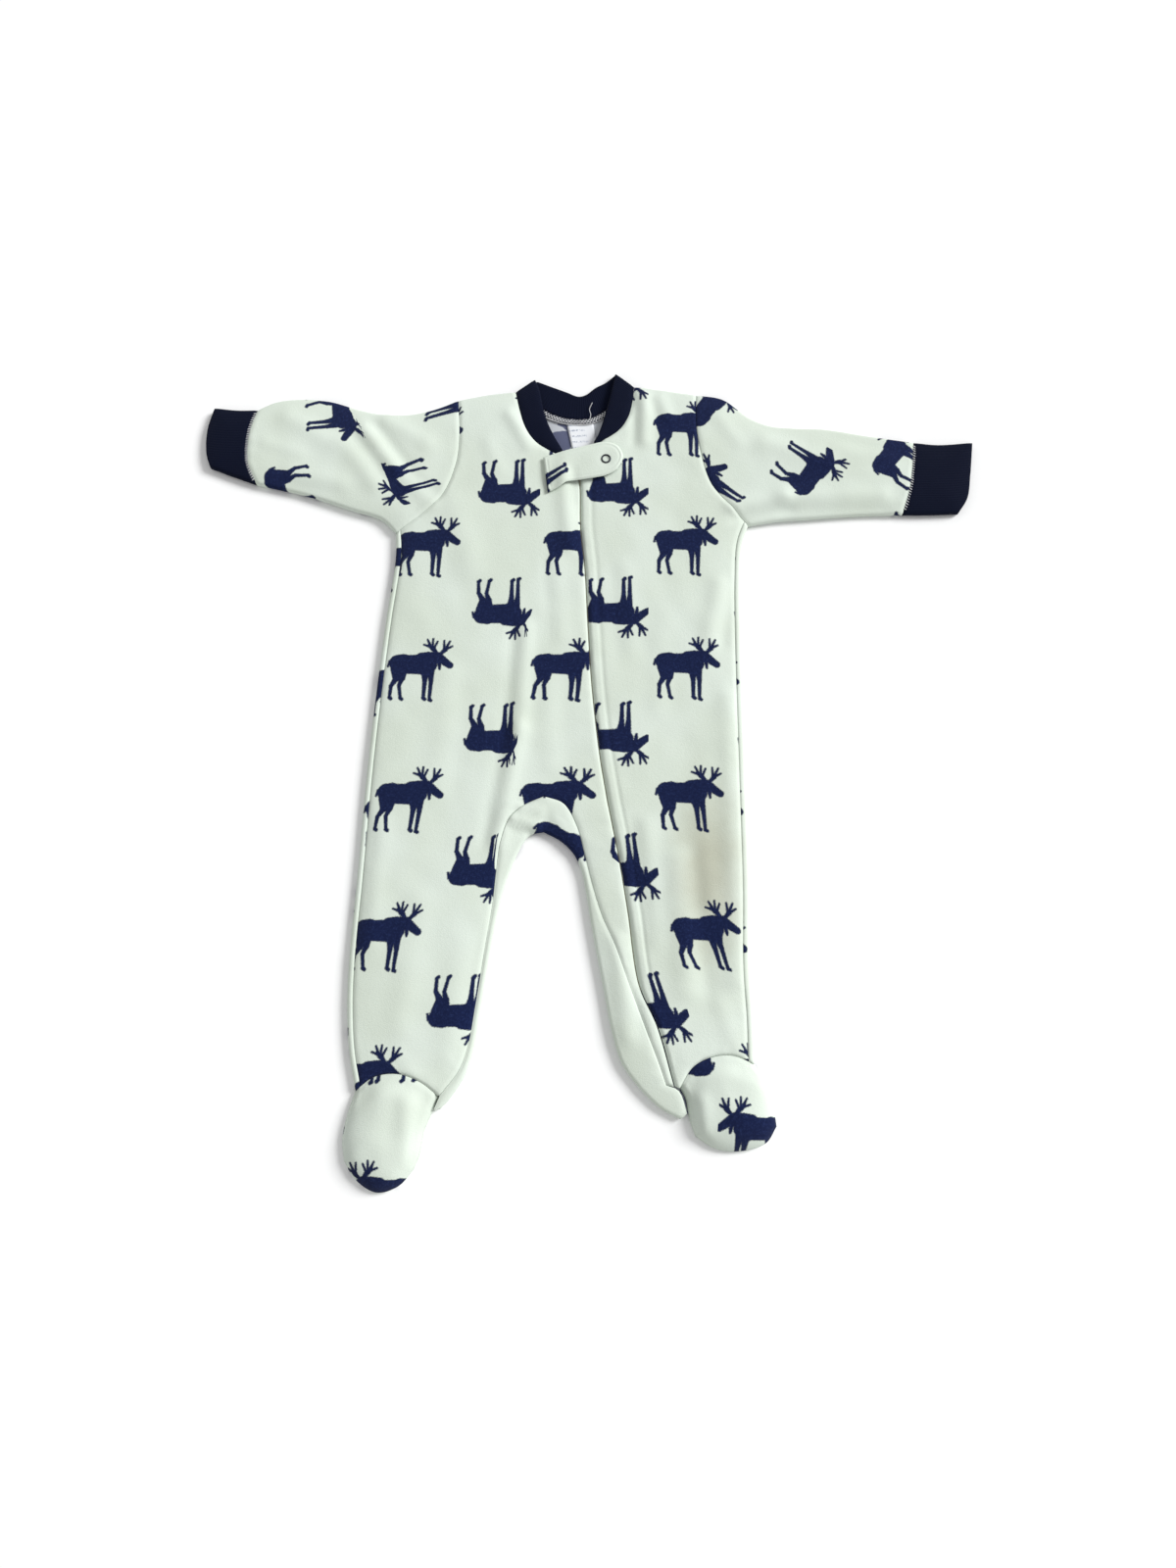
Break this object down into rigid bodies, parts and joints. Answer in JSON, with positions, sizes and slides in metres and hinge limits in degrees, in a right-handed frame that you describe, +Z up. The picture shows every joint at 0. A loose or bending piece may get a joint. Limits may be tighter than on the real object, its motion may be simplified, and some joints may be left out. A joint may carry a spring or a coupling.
{
  "type": "onesie pajama",
  "caption": "Footed fleece onesie pajama laid flat on its back, with long sleeves, ribbed cuffs and neckband, and a front zip that runs down one leg under a snap tab.",
  "frame": {"origin": "centre of the laid-out garment's bounding box, on the surface that it lies on", "axes": "+Z up from the surface, +Y towards the neck, +X towards the wearer's left hand"},
  "size_m": [0.638, 0.6569, 0.0144],
  "materials": {
    "fleece": "cream brushed fleece printed with navy animals",
    "rib_knit": "navy rib knit",
    "label": "white woven tape",
    "zip_tape": "cream tape and coil",
    "snap_metal": "grey metal"
  },
  "bodies": {
    "root": {"back": "fleece", "front_right": "fleece", "front_left": "fleece", "sleeve_right": "fleece", "sleeve_left": "fleece", "foot_upper_right": "fleece", "foot_upper_left": "fleece", "sole_right": "fleece", "sole_left": "fleece", "zip_tab": "fleece", "cuff_right": "rib_knit", "cuff_left": "rib_knit", "neckband": "rib_knit", "care_label": "label", "zip_tape": "zip_tape", "zip_slider": "snap_metal", "zip_pull": "snap_metal", "snap_ring": "snap_metal", "snap_socket": "snap_metal"}
  },
  "joints": []
}
